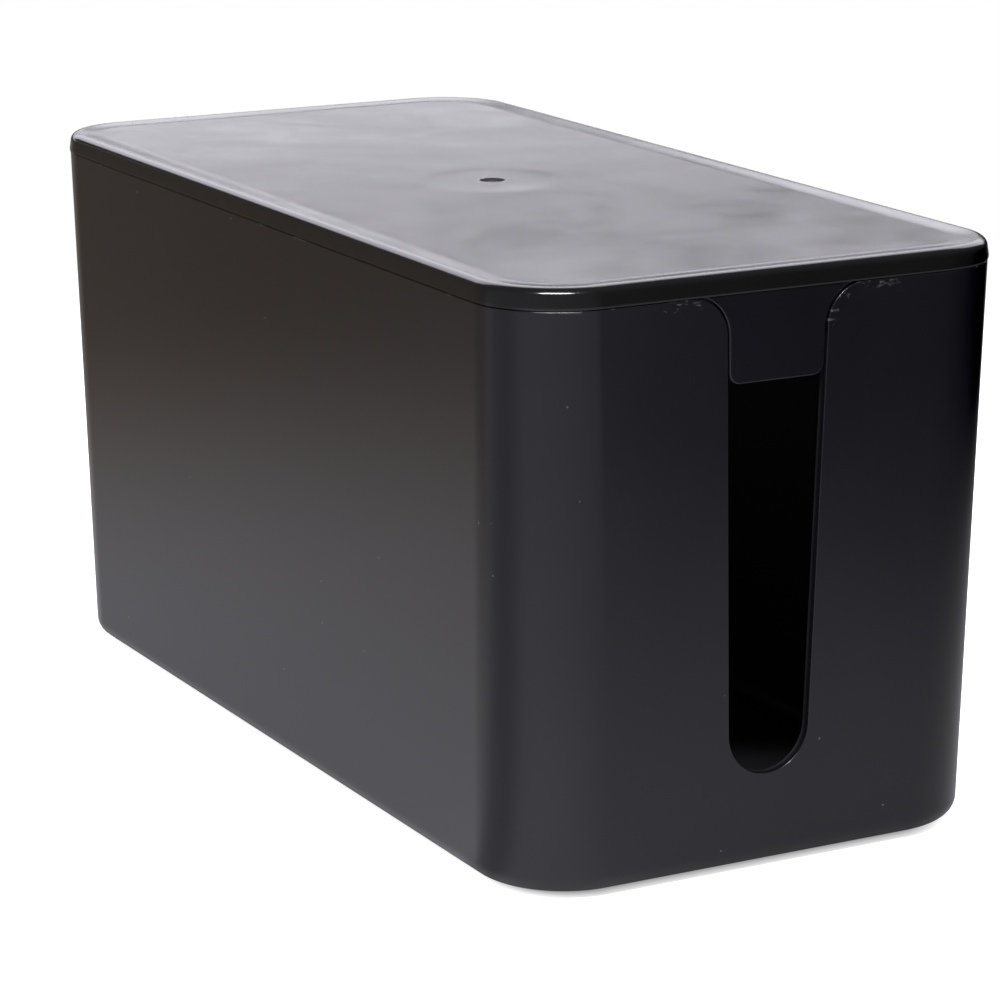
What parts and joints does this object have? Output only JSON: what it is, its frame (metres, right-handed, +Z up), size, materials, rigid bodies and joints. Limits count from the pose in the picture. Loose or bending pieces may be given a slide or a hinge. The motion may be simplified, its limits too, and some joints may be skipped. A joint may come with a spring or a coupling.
{
  "type": "cable management box",
  "caption": "Rounded oblong box that hides a power strip and its leads: open tub with a tapering cable slot in each end, lift-off lid with slot tabs, and rubber feet.",
  "frame": {"origin": "on the surface that the feet stand on, under the middle of the box", "axes": "+X along the box, out through one slotted end; +Y across it; +Z up, the way the lid lifts"},
  "size_m": [0.236, 0.1154, 0.1232],
  "materials": {
    "tub_plastic": "black, fine satin moulded surface",
    "lid_plastic": "black, fine satin moulded surface with faint flow marks",
    "rubber": "black, dull"
  },
  "bodies": {
    "tub": {"tub": "tub_plastic", "foot_front_left": "rubber", "foot_front_right": "rubber", "foot_rear_left": "rubber", "foot_rear_right": "rubber"},
    "lid": {"lid": "lid_plastic"}
  },
  "joints": [
    {"name": "lid_lift", "type": "slide", "parent": "tub", "child": "lid", "axis": [0, 0, 1], "range_m": [0, 0.05]}
  ]
}
